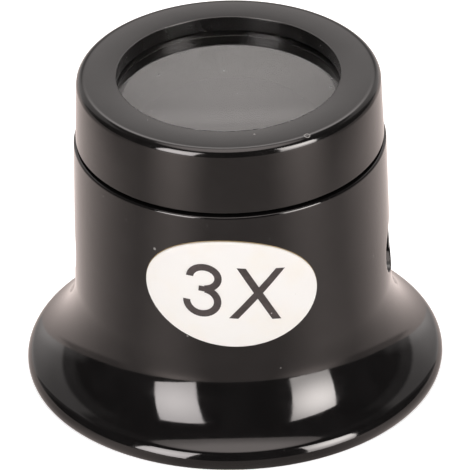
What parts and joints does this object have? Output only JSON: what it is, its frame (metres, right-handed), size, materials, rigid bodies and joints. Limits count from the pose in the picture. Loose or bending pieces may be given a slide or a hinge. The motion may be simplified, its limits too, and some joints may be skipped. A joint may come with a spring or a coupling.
{
  "type": "jeweler loupe",
  "caption": "Eye loupe: flared plastic eyecup with side vents, a glass lens clamped by a screw-on cap, and an oval magnification label on the barrel.",
  "frame": {"origin": "centre of the eyecup rim's flat face, on the optical axis, where the loupe stands", "axes": "+Z along the optical axis from the rim to the lens cap; the label faces -Y; the vents lie near +X and -X"},
  "size_m": [0.0372, 0.0372, 0.0293],
  "materials": {
    "body_plastic": "gloss",
    "cap_plastic": "satin gloss",
    "lens_glass": "polished",
    "label_vinyl": "satin"
  },
  "bodies": {
    "eyecup": {"eyecup_body": "body_plastic", "label": "label_vinyl"},
    "lens": {"lens": "lens_glass"},
    "cap": {"lens_cap": "cap_plastic"}
  },
  "joints": [
    {"name": "cap_turn", "type": "hinge", "parent": "eyecup", "child": "lens", "pos_m": [0, 0, 0.0264], "axis": [0, 0, 1], "range_deg": [0, 900]},
    {"name": "cap_lift", "type": "slide", "parent": "lens", "child": "cap", "axis": [0, 0, 1], "range_m": [0, 0.003]}
  ],
  "couplings": [
    {"joint": "cap_lift", "follows": "cap_turn", "m_per_rad": 0.00019098}
  ]
}
